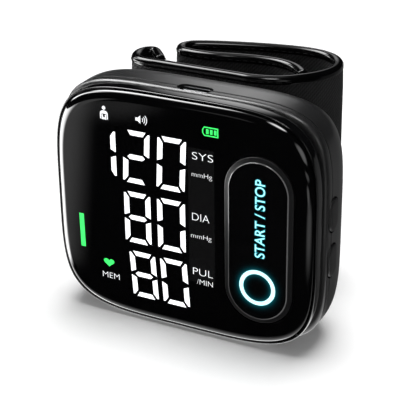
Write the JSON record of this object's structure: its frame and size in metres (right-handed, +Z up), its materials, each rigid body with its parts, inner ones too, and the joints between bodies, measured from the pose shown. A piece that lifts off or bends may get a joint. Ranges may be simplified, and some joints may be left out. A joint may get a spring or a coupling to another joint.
{
  "type": "wrist blood pressure monitor",
  "caption": "Wrist blood pressure monitor: rounded square housing with a glossy display window, pill-shaped start button, side keys, charging socket and a folded fabric cuff.",
  "frame": {"origin": "on the floor, under the middle of the object's box", "axes": "+X to the right seen from the front, +Y from the display to the cuff, +Z up"},
  "size_m": [0.0746, 0.054, 0.0637],
  "materials": {
    "gloss_black": "high gloss, smoked window and bezel",
    "satin_black": "satin moulded housing",
    "key_black": "satin keys",
    "light_guide": "translucent light ring",
    "display_block": "white light guide block",
    "board": "green circuit board",
    "metal": "plain steel",
    "rubber": "matte rubber",
    "silicone": "soft silicone",
    "cell": "foil pouch",
    "white_plastic": "moulded inner parts",
    "fabric": "black woven fabric with bound edges"
  },
  "bodies": {
    "housing": {"display_window": "gloss_black", "window_tape": "rubber", "front_bezel": "gloss_black", "front_case": "satin_black", "display_block": "display_block", "main_board": "board", "start_switch": "metal", "charging_socket": "metal", "socket_tongue": "key_black", "battery_cell": "cell", "speaker": "key_black", "memory_switch": "metal", "set_switch": "metal", "pump_motor": "metal", "pump_head": "white_plastic", "pump_cradle": "rubber", "pump_hose": "silicone", "air_manifold": "white_plastic", "pressure_sensor": "white_plastic", "exhaust_valve": "metal", "port_seal": "silicone", "rear_shell": "satin_black", "cuff_plate": "satin_black", "case_screw_1": "metal", "case_screw_2": "metal", "case_screw_3": "metal", "case_screw_4": "metal", "cuff_base": "fabric", "cuff_bladder": "silicone"},
    "start_button": {"start_button": "gloss_black", "start_ring": "light_guide"},
    "start_stem": {"start_stem": "key_black"},
    "memory_key": {"memory_key": "key_black"},
    "memory_stem": {"memory_stem": "white_plastic"},
    "set_key": {"set_key": "key_black"},
    "set_stem": {"set_stem": "white_plastic"},
    "motor_shaft": {"motor_shaft": "metal"},
    "valve_plunger": {"valve_plunger": "metal"},
    "cuff_strap": {"cuff_strap": "fabric", "hook_patch": "fabric"}
  },
  "joints": [
    {"name": "start_press", "type": "slide", "parent": "housing", "child": "start_button", "axis": [0, 1, 0], "range_m": [0, 0.0005], "stiffness_N_per_m": 3000},
    {"name": "start_stem_slide", "type": "slide", "parent": "housing", "child": "start_stem", "axis": [0, 1, 0], "range_m": [0, 0.0008]},
    {"name": "memory_press", "type": "slide", "parent": "housing", "child": "memory_key", "axis": [-1, 0, 0], "range_m": [0, 0.0004], "stiffness_N_per_m": 3000},
    {"name": "memory_stem_slide", "type": "slide", "parent": "housing", "child": "memory_stem", "axis": [-1, 0, 0], "range_m": [0, 0.0007]},
    {"name": "set_press", "type": "slide", "parent": "housing", "child": "set_key", "axis": [-1, 0, 0], "range_m": [0, 0.0004], "stiffness_N_per_m": 3000},
    {"name": "set_stem_slide", "type": "slide", "parent": "housing", "child": "set_stem", "axis": [-1, 0, 0], "range_m": [0, 0.0007]},
    {"name": "motor_spin", "type": "hinge", "parent": "housing", "child": "motor_shaft", "pos_m": [-0.0203, -0.0099, 0.0196], "axis": [1, 0, 0], "continuous": true},
    {"name": "valve_draw", "type": "slide", "parent": "housing", "child": "valve_plunger", "axis": [-1, 0, 0], "range_m": [0, 0.0008], "stiffness_N_per_m": 300},
    {"name": "cuff_open", "type": "hinge", "parent": "housing", "child": "cuff_strap", "pos_m": [0.02467, 0.01602, 0.0311], "axis": [0, 0, -1], "range_deg": [0, 75], "stiffness_Nm_per_rad": 0.02}
  ],
  "couplings": [
    {"joint": "start_stem_slide", "follows": "start_press", "ratio": 1},
    {"joint": "memory_stem_slide", "follows": "memory_press", "ratio": 1},
    {"joint": "set_stem_slide", "follows": "set_press", "ratio": 1}
  ]
}
